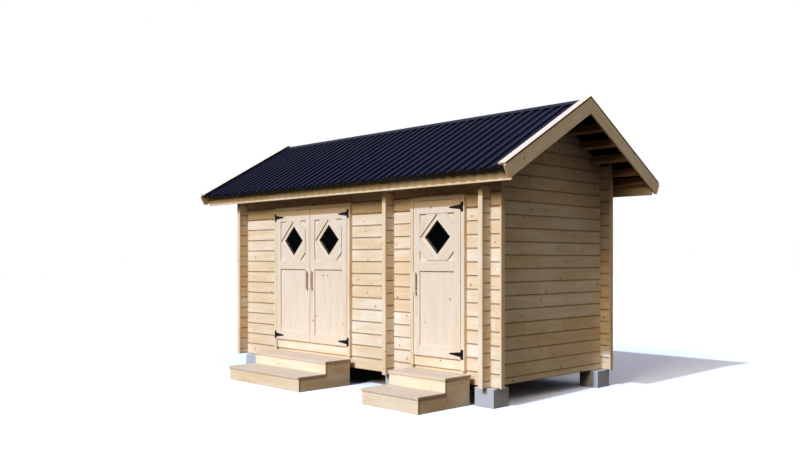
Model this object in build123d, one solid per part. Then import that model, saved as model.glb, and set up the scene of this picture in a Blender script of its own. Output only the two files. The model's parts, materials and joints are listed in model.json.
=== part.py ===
from build123d import *
import os
from math import cos, radians, sin, tan

# Wooden outhouse: two rooms of notched log walls under one ridge roof, on concrete blocks.
# Millimetres. X runs along the ridge, Y from the front to the back, Z up from the ground.
# The origin is the middle of the whole footprint, steps and eaves included, at ground level.

# ---- logs and walls ----
LOG_HEIGHT = 145.0          # one course
LOG_THICKNESS = 45.0
LOG_EDGE = 2.0              # small bevel along a log's upper edges
LOG_LIP_HEIGHT = 8.0        # undercut along a log's lower edges, which makes the dark groove between two courses
LOG_LIP_DEPTH = 11.0
SEAT_GAP = 0.4              # play between two logs, and between a log and what is let into it
HUT_LENGTH = 4490.0         # over the outer faces of the two gable walls
HUT_DEPTH = 2135.0          # over the outer faces of the front and rear walls
LOG_OVERRUN = 125.0         # log end beyond the wall that it crosses
END_BOARD_THICKNESS = 20.0  # upright board nailed over the log ends
END_BOARD_WIDTH = 58.0
PARTITION_FROM_RIGHT = 1445.0  # right gable wall's outer face to the partition's right face
EAVE_COURSES = 16           # whole courses in the front and rear walls, below the bevelled top log
TOP_LOG_BEVEL = 11.0        # what the roof's slope takes off the top log at the wall's outer face
HEAD_COURSES = 14           # courses up to the top of the door frames
CUT = 1.0                   # how far a cutting shape reaches past what it cuts

# ---- base ----
BLOCK_HEIGHT = 200.0
BLOCK_SIZE = 255.0
RIGHT_BLOCK_INSET = 35.0    # gable wall's outer face to a block's middle
LEFT_BLOCK_INSET = 225.0
PARTITION_BLOCK_OFFSET = 52.0  # partition's right face to the middle of the pair beside it
FRONT_BLOCK_INSET = 60.0    # long wall's outer face to a block's middle
REAR_BLOCK_INSET = 120.0
JOIST_WIDTH = 45.0
JOIST_SPACING = 490.0
FLOOR_THICKNESS = 28.0
FLOOR_GAP = 3.0             # floor boards to the walls

# ---- doors ----
SINGLE_LEAF_WIDTH = 700.0
DOUBLE_LEAF_WIDTH = 720.0
LEAF_THICKNESS = 40.0
SILL_HEIGHT = 112.0         # sill and head of a door frame
HEAD_HEIGHT = 45.0
SILL_SETBACK = 25.0         # jamb's front to the sill's front
SINGLE_DOOR_FROM_RIGHT = 732.0   # right gable wall's outer face to the middle of the single door
DOUBLE_DOOR_FROM_RIGHT = 2964.0  # the same to the middle of the double door
JAMB_WIDTH = 50.0
JAMB_PROUD = 45.0           # jamb front before the wall's outer face
STOP_WIDTH = 15.0           # rebate that the leaf shuts against
DOOR_GAP = 5.0              # leaf to frame at the hinges, the sill, the head and the stop
SWING_GAP = 8.0             # leaf to frame, or leaf to leaf, at the swinging edge
PANEL_THICKNESS = 22.0      # boarded panel at the back of a leaf
STILE_WIDTH = 93.0
DOUBLE_STILE_WIDTH = 88.0
TOP_RAIL = 140.0
MID_RAIL = 115.0
BOTTOM_RAIL = 113.0
UPPER_PANEL_HEIGHT = 520.0  # square field with the lattice of slanting boards
LATTICE_WIDTH = 108.0       # slanting board
LATTICE_THICKNESS = 17.0
PANE_SHARE = 0.66           # window's half diagonal over the large lozenge's
PANE_THICKNESS = 6.0
HAIRLINE = 0.6              # joint between two pieces of a leaf

# ---- door furniture ----
HANDLE_LENGTH = 240.0
HANDLE_SECTION = 26.0
HANDLE_STANDOFF = 32.0
HANDLE_UP_LEAF = 810.0      # leaf's lower edge to the handle's middle
LOW_HINGE_INSET = 55.0      # leaf's lower edge to the lower strap's middle line
HIGH_HINGE_INSET = 84.0     # the same from the leaf's upper edge
HINGE_PIN_RADIUS = 6.0
STRAP_LENGTH = 165.0
STRAP_ROOT = 50.0
STRAP_TIP = 16.0
STRAP_THICKNESS = 3.0
HINGE_PLATE_HEIGHT = 105.0
HINGE_PLATE_WIDTH = 40.0
KNUCKLE_PLAY = 0.5

# ---- steps ----
LOWER_RISE = 176.0
UPPER_RISE = 146.0
STEP_GOING = 396.0
STEP_REACH = 866.0          # wall's outer face to the lower tread's front edge
STEP_STANDOFF = 70.0        # wall's outer face to the upper tread's back edge
TREAD_THICKNESS = 30.0
NOSING = 10.0               # tread past the riser, the sides and their back ends
STEP_BOARD = 28.0           # boards of the step's sides and risers
SINGLE_STEP_WIDTH = 848.0   # over the treads' ends
DOUBLE_STEP_WIDTH = 1460.0
SINGLE_STEP_OFFSET = 100.0  # middle of the door to the middle of its step
DOUBLE_STEP_OFFSET = 107.0
LEDGER_HEIGHT = 45.0        # batten along the bottom log that carries the upper tread's back
LEDGER_INSET = 75.0         # outer face of a side board to the ledger's end
LEDGER_LAP = 40.0           # ledger under the tread, in front of the sides' back ends

# ---- roof ----
ROOF_ANGLE = 29.5
EAVE_REACH = 432.0          # wall's outer face to the barge boards' lower end
GABLE_REACH = 525.0         # gable wall's outer face to the barge board's outer face
CAP_THICKNESS = 22.0
CAP_WIDTH = 100.0
CAP_SETBACK = 27.0          # barge boards' lower end to the cap boards' and the sheets', along the slope
BARGE_DEPTH = 145.0
BARGE_THICKNESS = 20.0
BARGE_TOE = 16.0            # height of the level cut over a barge board's lowest corner
SHEET_PITCH = 137.5         # trapezoid sheet, with a crown in the roof's middle: crown, web, valley, web
CROWN_WIDTH = 35.0
WEB_WIDTH = 19.0
SHEET_DEPTH = 18.0
SHEET_THICKNESS = 1.0
SHEET_OVERHANG = 115.0      # sheet's lower end to the fascia's outer face, level
PURLIN_WIDTH = 45.0
PURLIN_DEPTH = 95.0
PURLIN_FIRST = 170.0        # ridge line to the first purlin's lower side, along the slope
PURLIN_SPACING = 295.0
PURLINS_PER_SLOPE = 5       # on the log walls; one more lies at the eave
FASCIA_THICKNESS = 25.0
RIDGE_CAP_WING = 115.0
RIDGE_CAP_THICKNESS = 1.0

# ---- worked out from the sizes above ----
FRONT_Y = (STEP_REACH - HUT_DEPTH - EAVE_REACH) / 2   # front wall's outer face
REAR_Y = FRONT_Y + HUT_DEPTH
RIGHT_X = HUT_LENGTH / 2
LEFT_X = -HUT_LENGTH / 2
RIDGE_Y = FRONT_Y + HUT_DEPTH / 2
PARTITION_X = RIGHT_X - PARTITION_FROM_RIGHT          # its right face
SINGLE_DOOR_X = RIGHT_X - SINGLE_DOOR_FROM_RIGHT
DOUBLE_DOOR_X = RIGHT_X - DOUBLE_DOOR_FROM_RIGHT
WALL_BASE = BLOCK_HEIGHT
HEAD_TOP = WALL_BASE + HEAD_COURSES * LOG_HEIGHT
SILL_BOTTOM = WALL_BASE + LOG_HEIGHT
LEAF_BOTTOM = SILL_BOTTOM + SILL_HEIGHT + DOOR_GAP
LEAF_TOP = HEAD_TOP - HEAD_HEIGHT - DOOR_GAP
HANDLE_MIDDLE_Z = LEAF_BOTTOM + HANDLE_UP_LEAF
HINGE_HEIGHTS = (LEAF_BOTTOM + LOW_HINGE_INSET, LEAF_TOP - HIGH_HINGE_INSET)
JAMB_FRONT_Y = FRONT_Y - JAMB_PROUD
LEAF_BACK_Y = JAMB_FRONT_Y + LEAF_THICKNESS
SINGLE_CLEAR = SINGLE_LEAF_WIDTH + DOOR_GAP + SWING_GAP
DOUBLE_CLEAR = 2 * DOUBLE_LEAF_WIDTH + 2 * DOOR_GAP + SWING_GAP

SLOPE = radians(ROOF_ANGLE)
SHEET_TOP = CAP_THICKNESS                             # depths under the cap boards' top, square to it
SHEET_UNDER = SHEET_TOP + SHEET_DEPTH + SHEET_THICKNESS
BARGE_UNDER = CAP_THICKNESS + BARGE_DEPTH
TOP_LOG_HEIGHT = WALL_BASE + (EAVE_COURSES + 1) * LOG_HEIGHT - TOP_LOG_BEVEL   # at the wall's outer face
APEX_HEIGHT = TOP_LOG_HEIGHT + HUT_DEPTH / 2 * tan(SLOPE) + SHEET_UNDER / cos(SLOPE)   # where the cap boards meet
HALF_SPAN = HUT_DEPTH / 2 + EAVE_REACH                # ridge line to the barge boards' lower end, level
BARGE_END = (HALF_SPAN + CAP_THICKNESS * sin(SLOPE)) / cos(SLOPE)   # the same down the slope
CAP_END = BARGE_END - CAP_SETBACK
BARGE_OUTER_X = RIGHT_X + GABLE_REACH
BARGE_INNER_X = BARGE_OUTER_X - BARGE_THICKNESS
BARGE_CORNER_Z = APEX_HEIGHT - BARGE_END * sin(SLOPE) - BARGE_UNDER * cos(SLOPE)
FASCIA_OUTER = CAP_END * cos(SLOPE) - SHEET_TOP * sin(SLOPE) - SHEET_OVERHANG   # ridge line to the outer face, level


def box(x0, x1, y0, y1, z0, z1):
    """A plain board or block between two corners."""
    return Pos((x0 + x1) / 2, (y0 + y1) / 2, (z0 + z1) / 2) * Box(x1 - x0, y1 - y0, z1 - z0)


def prism_x(points, x0, x1):
    """An outline in (y, z), run along X."""
    face = make_face(Polyline(*[(x0, y, z) for y, z in points], close=True))
    return extrude(face, amount=x1 - x0, dir=(1, 0, 0))


def prism_y(points, y0, y1):
    """An outline in (x, z), run along Y."""
    face = make_face(Polyline(*[(x, y0, z) for x, z in points], close=True))
    return extrude(face, amount=y1 - y0, dir=(0, 1, 0))


def save(node, solids):
    """One STEP file for one node, with all its separate solids."""
    flat = [solid for piece in solids for solid in piece.solids()]
    shape = flat[0] if len(flat) == 1 else Compound(children=flat)
    shape.label = node
    export_step(shape, f"parts/{node}.step")


# ---- roof geometry: places on a slope, by distance down it and depth under it ----
def roof_point(down, depth, rear):
    """(y, z) at a distance down the slope from the ridge line and a depth square under the cap boards' top."""
    side = 1 if rear else -1
    level = down * cos(SLOPE) - depth * sin(SLOPE)
    return RIDGE_Y + side * level, APEX_HEIGHT - down * sin(SLOPE) - depth * cos(SLOPE)


def slope_strip(down0, down1, depth0, depth1, rear):
    """Outline of a board in the slope, square to it."""
    return [roof_point(down0, depth0, rear), roof_point(down1, depth0, rear),
            roof_point(down1, depth1, rear), roof_point(down0, depth1, rear)]


def mitred_strip(down_end, depth0, depth1, rear, play=0.0):
    """The same, run up to a plumb cut at the ridge line."""
    return [roof_point(depth * tan(SLOPE) + play, depth, rear) for depth in (depth1, depth0)] + [
        roof_point(down_end, depth0, rear), roof_point(down_end, depth1, rear)]


def under_roof(clearance=SEAT_GAP):
    """Everything below the roof sheets, for trimming the walls."""
    depth = SHEET_UNDER + clearance
    reach = HALF_SPAN + depth
    apex_z = APEX_HEIGHT - depth / cos(SLOPE)
    low_z = apex_z - reach * tan(SLOPE)
    outline = [(RIDGE_Y - reach, 0), (RIDGE_Y + reach, 0), (RIDGE_Y + reach, low_z), (RIDGE_Y, apex_z),
               (RIDGE_Y - reach, low_z)]
    return prism_x(outline, -BARGE_OUTER_X, BARGE_OUTER_X)


def purlin_downs():
    """Distance down the slope to the lower side of each purlin, the one at the eave last."""
    eave = (FASCIA_OUTER - FASCIA_THICKNESS - SEAT_GAP + SHEET_UNDER * sin(SLOPE)) / cos(SLOPE)
    return [PURLIN_FIRST + i * PURLIN_SPACING for i in range(PURLINS_PER_SLOPE)] + [eave]


def purlin_outline(down, rear, play=0.0):
    return slope_strip(down - PURLIN_WIDTH - play, down + play, SHEET_UNDER - play,
                       SHEET_UNDER + PURLIN_DEPTH + play, rear)


# ---- logs ----
def log_outline(across0, bottom, top):
    """Section of a log: (across, z), undercut along its lower edges and eased along its upper ones."""
    a0, a1 = across0, across0 + LOG_THICKNESS
    z0, z1 = bottom + SEAT_GAP / 2, top - SEAT_GAP / 2
    return [(a0 + LOG_LIP_DEPTH, z0), (a1 - LOG_LIP_DEPTH, z0), (a1, z0 + LOG_LIP_HEIGHT), (a1, z1 - LOG_EDGE),
            (a1 - LOG_EDGE, z1), (a0 + LOG_EDGE, z1), (a0, z1 - LOG_EDGE), (a0, z0 + LOG_LIP_HEIGHT)]


def notch(along, bottom, top):
    """Heights of the two notches of a log where another crosses it, as (z0, z1) pairs."""
    quarter = LOG_HEIGHT / 4
    middle = along * LOG_HEIGHT + WALL_BASE
    cuts = []
    if bottom < middle - quarter:
        cuts.append((bottom - CUT, middle - quarter + SEAT_GAP / 2))
    if top > middle + quarter:
        cuts.append((middle + quarter - SEAT_GAP / 2, top + CUT))
    return cuts


def course_x(course, y, x0, x1, crossings):
    """A log of the front or rear wall; crossings are the low-X faces of the walls that cross it."""
    bottom = WALL_BASE + course * LOG_HEIGHT
    top = bottom + LOG_HEIGHT
    log = prism_x(log_outline(y, bottom, top), x0, x1)
    for x in crossings:
        for z0, z1 in notch(course + 0.5, bottom, top):
            log -= box(x - SEAT_GAP / 2, x + LOG_THICKNESS + SEAT_GAP / 2, y - CUT, y + LOG_THICKNESS + CUT, z0, z1)
    return log


def course_y(course, x, y0, y1, crossings):
    """A log of a gable wall or the partition, half a course lower than its neighbours; the first is a half log."""
    bottom = max(WALL_BASE, WALL_BASE + (course - 0.5) * LOG_HEIGHT)
    top = WALL_BASE + (course + 0.5) * LOG_HEIGHT
    log = prism_y(log_outline(x, bottom, top), y0, y1)
    for y in crossings:
        for z0, z1 in notch(course, bottom, top):
            log -= box(x - CUT, x + LOG_THICKNESS + CUT, y - SEAT_GAP / 2, y + LOG_THICKNESS + SEAT_GAP / 2, z0, z1)
    return log


GABLE_FACES = [LEFT_X, PARTITION_X - LOG_THICKNESS, RIGHT_X - LOG_THICKNESS]   # low-X faces of the cross walls
LONG_FACES = [FRONT_Y, REAR_Y - LOG_THICKNESS]                                 # low-Y faces of the long walls
FAR_LEFT = LEFT_X - LOG_OVERRUN
FAR_RIGHT = RIGHT_X + LOG_OVERRUN
ROOF_SPACE = under_roof()
SMALLEST_LOG = LOG_THICKNESS ** 3 / 4          # offcuts under the roof smaller than this are left out


def wall_x(courses, y, x0, x1):
    """Courses of a long wall between two ends, under the roof."""
    crossings = [x for x in GABLE_FACES if x0 < x < x1]
    logs = [course_x(course, y, x0, x1, crossings) for course in courses]
    return [log & ROOF_SPACE if course == EAVE_COURSES else log for course, log in zip(courses, logs)]


def wall_y(x):
    """A gable wall or the partition, up to the ridge, with the purlins let in."""
    y0, y1 = FRONT_Y - LOG_OVERRUN, REAR_Y + LOG_OVERRUN
    ridge_courses = int((APEX_HEIGHT - WALL_BASE) / LOG_HEIGHT + 0.5)
    pockets = [prism_x(purlin_outline(down, rear, SEAT_GAP), x - CUT, x + LOG_THICKNESS + CUT)
               for rear in (False, True) for down in purlin_downs()[:-1]]
    logs = []
    for course in range(ridge_courses + 1):
        crossings = LONG_FACES if course <= EAVE_COURSES + 1 else []
        log = course_y(course, x, y0, y1, crossings)
        if course >= EAVE_COURSES:
            log = log & ROOF_SPACE
            for pocket in pockets:
                log -= pocket
        logs += [solid for solid in log.solids() if solid.volume > SMALLEST_LOG]
    return logs


# ---- openings in the front wall ----
def opening(middle, clear):
    """Outer sides of a door frame, with the play beside it."""
    half = clear / 2 + JAMB_WIDTH + SEAT_GAP
    return middle - half, middle + half


SINGLE_OPENING = opening(SINGLE_DOOR_X, SINGLE_CLEAR)
DOUBLE_OPENING = opening(DOUBLE_DOOR_X, DOUBLE_CLEAR)


def build_walls():
    beside = range(1, HEAD_COURSES)
    above = range(HEAD_COURSES, EAVE_COURSES + 1)
    save("front_bottom_log", wall_x([0], FRONT_Y, FAR_LEFT, FAR_RIGHT))
    save("front_wall_left", wall_x(beside, FRONT_Y, FAR_LEFT, DOUBLE_OPENING[0]))
    save("front_wall_middle", wall_x(beside, FRONT_Y, DOUBLE_OPENING[1], SINGLE_OPENING[0]))
    save("front_wall_right", wall_x(beside, FRONT_Y, SINGLE_OPENING[1], FAR_RIGHT))
    save("front_top_logs", wall_x(above, FRONT_Y, FAR_LEFT, FAR_RIGHT))
    save("rear_wall", wall_x(range(EAVE_COURSES + 1), REAR_Y - LOG_THICKNESS, FAR_LEFT, FAR_RIGHT))
    save("left_gable_wall", wall_y(GABLE_FACES[0]))
    save("partition_wall", wall_y(GABLE_FACES[1]))
    save("right_gable_wall", wall_y(GABLE_FACES[2]))


def build_end_boards():
    """Upright boards over the log ends: three on the front or rear, one at each end of the long wall."""
    side = (END_BOARD_WIDTH - LOG_THICKNESS) / 2
    for node, outward, y_wall in (("front_end_boards", -1, LONG_FACES[0]), ("rear_end_boards", 1, LONG_FACES[1])):
        boards = []
        near = (FRONT_Y - LOG_OVERRUN) if outward < 0 else (REAR_Y + LOG_OVERRUN)
        far = near + outward * END_BOARD_THICKNESS
        for x in GABLE_FACES:
            board = box(x - side, x + LOG_THICKNESS + side, min(near, far), max(near, far), WALL_BASE, APEX_HEIGHT)
            boards.append(board & ROOF_SPACE)
        for x0, x1 in ((FAR_LEFT - END_BOARD_THICKNESS, FAR_LEFT), (FAR_RIGHT, FAR_RIGHT + END_BOARD_THICKNESS)):
            board = box(x0, x1, y_wall - side, y_wall + LOG_THICKNESS + side, WALL_BASE, APEX_HEIGHT)
            boards.append(trim_under_purlins(board))
        save(node, boards)


def trim_under_purlins(board):
    """Cut an end board under the roof and round the purlin that passes over it."""
    board = board & ROOF_SPACE
    for rear in (False, True):
        for down in purlin_downs()[:-1]:
            board -= prism_x(purlin_outline(down, rear, SEAT_GAP), -BARGE_OUTER_X, BARGE_OUTER_X)
    return max(board.solids(), key=lambda solid: solid.volume)


# ---- base and floor ----
def build_base():
    blocks = []
    for x in (LEFT_X + LEFT_BLOCK_INSET, PARTITION_X + PARTITION_BLOCK_OFFSET, RIGHT_X - RIGHT_BLOCK_INSET):
        for y in (FRONT_Y + FRONT_BLOCK_INSET, REAR_Y - REAR_BLOCK_INSET):
            blocks.append(Pos(x, y, BLOCK_HEIGHT / 2) * Box(BLOCK_SIZE, BLOCK_SIZE, BLOCK_HEIGHT))
    save("foundation_blocks", blocks)


def rooms():
    """Inner X limits of the store room and the toilet room."""
    return ((LEFT_X + LOG_THICKNESS, PARTITION_X - LOG_THICKNESS), (PARTITION_X, RIGHT_X - LOG_THICKNESS))


def build_floors():
    y0, y1 = FRONT_Y + LOG_THICKNESS, REAR_Y - LOG_THICKNESS
    joist_top = SILL_BOTTOM
    joists = []
    for x0, x1 in rooms():
        bays = max(1, round((x1 - x0 - JOIST_WIDTH) / JOIST_SPACING))
        for i in range(bays + 1):
            x = x0 + SEAT_GAP + (x1 - x0 - JOIST_WIDTH - 2 * SEAT_GAP) * i / bays
            joists.append(box(x, x + JOIST_WIDTH, y0 + SEAT_GAP, y1 - SEAT_GAP, WALL_BASE + SEAT_GAP, joist_top))
    save("floor_joists", joists)
    for node, (x0, x1) in zip(("store_room_floor", "toilet_room_floor"), rooms()):
        save(node, [box(x0 + FLOOR_GAP, x1 - FLOOR_GAP, y0 + FLOOR_GAP, y1 - FLOOR_GAP,
                        joist_top, joist_top + FLOOR_THICKNESS)])


# ---- roof ----
def sheet_outline():
    """Underside of a sheet from the left verge to the right one, as (x, height over the valleys)."""
    half = BARGE_INNER_X - SEAT_GAP
    foot = CROWN_WIDTH / 2 + WEB_WIDTH
    wave = [(-foot, 0.0), (-CROWN_WIDTH / 2, SHEET_DEPTH), (CROWN_WIDTH / 2, SHEET_DEPTH), (foot, 0.0)]
    crowns = int(half / SHEET_PITCH) + 1
    points = [(i * SHEET_PITCH + x, h) for i in range(-crowns, crowns + 1) for x, h in wave]
    inside = [(x, h) for x, h in points if abs(x) < half - CUT]
    off_crown = half - round(half / SHEET_PITCH) * SHEET_PITCH
    end_height = SHEET_DEPTH * min(1.0, max(0.0, (foot - abs(off_crown)) / WEB_WIDTH))
    return [(-half, end_height)] + inside + [(half, end_height)]


def build_sheets():
    for node, rear in (("roof_sheet_front", False), ("roof_sheet_rear", True)):
        side = 1 if rear else -1
        under = sheet_outline()
        over = [(x, h + SHEET_THICKNESS) for x, h in reversed(under)]
        # the sheet starts where its underside would meet the other slope's
        down0 = SHEET_UNDER * tan(SLOPE) + SHEET_DEPTH
        down1 = CAP_END
        normal = Vector(0, side * sin(SLOPE), cos(SLOPE))
        y, z = roof_point(down0, SHEET_UNDER, rear)
        points = [Vector(x, y, z) + normal * h for x, h in under + over]
        face = make_face(Polyline(*points, close=True))
        save(node, [extrude(face, amount=down1 - down0, dir=(0, side * cos(SLOPE), -sin(SLOPE)))])


def build_ridge_cap():
    """Folded strip over the sheets' upper ends."""
    t = RIDGE_CAP_THICKNESS
    under, over = SHEET_TOP - SEAT_GAP, SHEET_TOP - SEAT_GAP - t
    outline = []
    for depth in (under, over):
        row = [roof_point(RIDGE_CAP_WING, depth, False), (RIDGE_Y, APEX_HEIGHT - depth / cos(SLOPE)),
               roof_point(RIDGE_CAP_WING, depth, True)]
        outline += row if depth == under else row[::-1]
    half = BARGE_OUTER_X - CAP_WIDTH - SEAT_GAP
    save("ridge_cap", [prism_x(outline, -half, half)])


def build_purlins():
    half = BARGE_INNER_X - SEAT_GAP
    for node, rear in (("purlins_front", False), ("purlins_rear", True)):
        save(node, [prism_x(purlin_outline(down, rear), -half, half) for down in purlin_downs()])


def build_verges():
    """Barge boards on the purlin ends, cap boards over them and fascias along the eaves."""
    caps = []
    toe = box(-BARGE_OUTER_X - CUT, BARGE_OUTER_X + CUT, RIDGE_Y - HALF_SPAN - BARGE_DEPTH,
              RIDGE_Y + HALF_SPAN + BARGE_DEPTH, 0, BARGE_CORNER_Z + BARGE_TOE)
    for node, outer in (("left_barge_boards", -1), ("right_barge_boards", 1)):
        x0, x1 = sorted((outer * BARGE_INNER_X, outer * BARGE_OUTER_X))
        save(node, [prism_x(mitred_strip(BARGE_END, CAP_THICKNESS, BARGE_UNDER, rear, HAIRLINE / 2), x0, x1) - toe
                    for rear in (False, True)])
        x0, x1 = sorted((outer * (BARGE_OUTER_X - CAP_WIDTH), outer * BARGE_OUTER_X))
        caps += [prism_x(mitred_strip(CAP_END, 0.0, CAP_THICKNESS, rear, HAIRLINE / 2), x0, x1)
                 for rear in (False, True)]
    save("cap_boards", caps)
    half = BARGE_INNER_X - SEAT_GAP
    fascias = []
    for rear in (False, True):
        side = 1 if rear else -1
        outer, inner = RIDGE_Y + side * FASCIA_OUTER, RIDGE_Y + side * (FASCIA_OUTER - FASCIA_THICKNESS)
        fascias.append(box(-half, half, min(outer, inner), max(outer, inner), BARGE_CORNER_Z, APEX_HEIGHT)
                       & under_roof(0.0))
    save("fascia_boards", fascias)


# ---- door frames ----
def jamb(edge, outward):
    """One jamb with its stop; edge is the clear opening's side, outward +1 away from the opening to the right."""
    outer = edge + outward * JAMB_WIDTH
    stop = edge - outward * STOP_WIDTH
    back = FRONT_Y + LOG_THICKNESS
    post = box(min(edge, outer), max(edge, outer), JAMB_FRONT_Y, back, SILL_BOTTOM, HEAD_TOP)
    rebate = box(min(stop, outer), max(stop, outer), LEAF_BACK_Y + DOOR_GAP, back, SILL_BOTTOM, HEAD_TOP)
    return post + rebate


def build_frame(node, middle, clear):
    half = clear / 2
    back = FRONT_Y + LOG_THICKNESS
    left, right = middle - half + HAIRLINE, middle + half - HAIRLINE
    inner_left, inner_right = left + STOP_WIDTH, right - STOP_WIDTH
    stop_y = LEAF_BACK_Y + DOOR_GAP
    head = box(left, right, JAMB_FRONT_Y, stop_y - HAIRLINE, LEAF_TOP + DOOR_GAP, HEAD_TOP) + box(
        inner_left, inner_right, stop_y - HAIRLINE, back, LEAF_TOP + DOOR_GAP - STOP_WIDTH, HEAD_TOP)
    sill_front = JAMB_FRONT_Y + SILL_SETBACK
    sill = box(left, right, sill_front, stop_y - HAIRLINE, SILL_BOTTOM, LEAF_BOTTOM - DOOR_GAP) + box(
        inner_left, inner_right, stop_y - HAIRLINE, back, SILL_BOTTOM, LEAF_BOTTOM - DOOR_GAP)
    save(node, [jamb(middle - half, -1), jamb(middle + half, 1), head, sill])


# ---- door leaves ----
def lattice_board(middle_x, middle_z, half, dx, dz, y0, y1):
    """One slanting board of the lozenge, towards the corner (dx, dz) of the square field."""
    reach = half + LATTICE_WIDTH
    board = Pos(middle_x, (y0 + y1) / 2, middle_z) * Rot(0, 45 * dx * dz, 0) * Pos(
        0, 0, dz * (half / 2 ** 0.5 + LATTICE_WIDTH / 2)) * Box(2 * reach, y1 - y0, LATTICE_WIDTH)
    quadrant = box(*sorted((middle_x + dx * HAIRLINE / 2, middle_x + dx * half)), y0 - CUT, y1 + CUT,
                   *sorted((middle_z + dz * HAIRLINE / 2, middle_z + dz * half)))
    return board & quadrant


def lozenge(middle_x, middle_z, half, y0, y1):
    return prism_y([(middle_x, middle_z - half), (middle_x + half, middle_z),
                    (middle_x, middle_z + half), (middle_x - half, middle_z)], y0, y1)


def build_leaf(name, x0, x1, hinge_side, stile):
    """A door leaf between x0 and x1, with its hinges on the side hinge_side, +1 right or -1 left."""
    front, back = JAMB_FRONT_Y, LEAF_BACK_Y
    panel_front = back - PANEL_THICKNESS
    inner0, inner1 = x0 + stile + HAIRLINE, x1 - stile - HAIRLINE
    top_rail_z = LEAF_TOP - TOP_RAIL
    mid_rail_top = top_rail_z - UPPER_PANEL_HEIGHT
    field_half = min(inner1 - inner0, UPPER_PANEL_HEIGHT) / 2
    window_x, window_z = (x0 + x1) / 2, top_rail_z - UPPER_PANEL_HEIGHT / 2
    lozenge_half = field_half - HAIRLINE
    pane_half = lozenge_half * PANE_SHARE
    panel = box(x0, x1, panel_front, back, LEAF_BOTTOM, LEAF_TOP)
    panel -= lozenge(window_x, window_z, pane_half, panel_front - CUT, back + CUT)
    save(f"{name}_panel", [panel])
    frame = [box(x0, x0 + stile, front, panel_front, LEAF_BOTTOM, LEAF_TOP),
             box(x1 - stile, x1, front, panel_front, LEAF_BOTTOM, LEAF_TOP),
             box(inner0, inner1, front, panel_front, top_rail_z, LEAF_TOP),
             box(inner0, inner1, front, panel_front, mid_rail_top - MID_RAIL, mid_rail_top),
             box(inner0, inner1, front, panel_front, LEAF_BOTTOM, LEAF_BOTTOM + BOTTOM_RAIL)]
    frame += [lattice_board(window_x, window_z, lozenge_half, dx, dz, panel_front - LATTICE_THICKNESS, panel_front)
              for dx in (-1, 1) for dz in (-1, 1)]
    save(f"{name}_frame", frame)
    middle_y = (panel_front + back) / 2
    save(f"{name}_window", [lozenge(window_x, window_z, pane_half - HAIRLINE,
                                    middle_y - PANE_THICKNESS / 2, middle_y + PANE_THICKNESS / 2)])
    handle_x = (x0 + stile / 2) if hinge_side > 0 else (x1 - stile / 2)
    save(f"{name}_handle", [handle(handle_x, front)])
    hinge_x = x1 + DOOR_GAP / 2 if hinge_side > 0 else x0 - DOOR_GAP / 2
    straps = [strap(hinge_x, z, -hinge_side) for z in HINGE_HEIGHTS]
    save(f"{name}_hinge_straps", straps)


def handle(x, front):
    """Upright wooden pull on two feet."""
    half = HANDLE_SECTION / 2
    z0, z1 = HANDLE_MIDDLE_Z - HANDLE_LENGTH / 2, HANDLE_MIDDLE_Z + HANDLE_LENGTH / 2
    grip_y = front - HANDLE_STANDOFF
    grip = box(x - half, x + half, grip_y - half, grip_y + half, z0, z1)
    for z in (z0 + HANDLE_SECTION, z1 - HANDLE_SECTION):
        grip += box(x - half, x + half, grip_y, front, z - half, z + half)
    return grip


def strap(hinge_x, z, towards):
    """T-hinge strap on the leaf with its two outer knuckles; towards is the X direction of the strap."""
    y1 = JAMB_FRONT_Y
    y0 = y1 - STRAP_THICKNESS
    root = hinge_x + towards * (HINGE_PIN_RADIUS + KNUCKLE_PLAY)
    tip = hinge_x + towards * STRAP_LENGTH
    outline = [(root, z - STRAP_ROOT / 2), (tip - towards * STRAP_TIP, z - STRAP_TIP / 2), (tip, z),
               (tip - towards * STRAP_TIP, z + STRAP_TIP / 2), (root, z + STRAP_ROOT / 2)]
    leaf = prism_y(outline, y0, y1)
    pin_y = y1 - HINGE_PIN_RADIUS
    for dz in (-1, 1):
        z_end = z + dz * STRAP_ROOT / 2
        z_in = z + dz * STRAP_ROOT / 6
        knuckle = Pos(hinge_x, pin_y, (z_end + z_in) / 2) * Cylinder(HINGE_PIN_RADIUS, abs(z_end - z_in))
        leaf += knuckle + box(*sorted((hinge_x, root)), y0, y1, *sorted((z_end, z_in)))
    return leaf


def hinge_plate(hinge_x, z, away):
    """Plate on the jamb with the middle knuckle; away is the X direction from the leaf."""
    y1 = JAMB_FRONT_Y
    y0 = y1 - STRAP_THICKNESS
    inner = hinge_x + away * (HINGE_PIN_RADIUS + KNUCKLE_PLAY)
    outer = hinge_x + away * HINGE_PLATE_WIDTH
    plate = box(*sorted((inner, outer)), y0, y1, z - HINGE_PLATE_HEIGHT / 2, z + HINGE_PLATE_HEIGHT / 2)
    half = STRAP_ROOT / 6 - KNUCKLE_PLAY
    plate += Pos(hinge_x, y1 - HINGE_PIN_RADIUS, z) * Cylinder(HINGE_PIN_RADIUS, 2 * half)
    plate += box(*sorted((hinge_x, inner)), y0, y1, z - half, z + half)
    return plate


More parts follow.
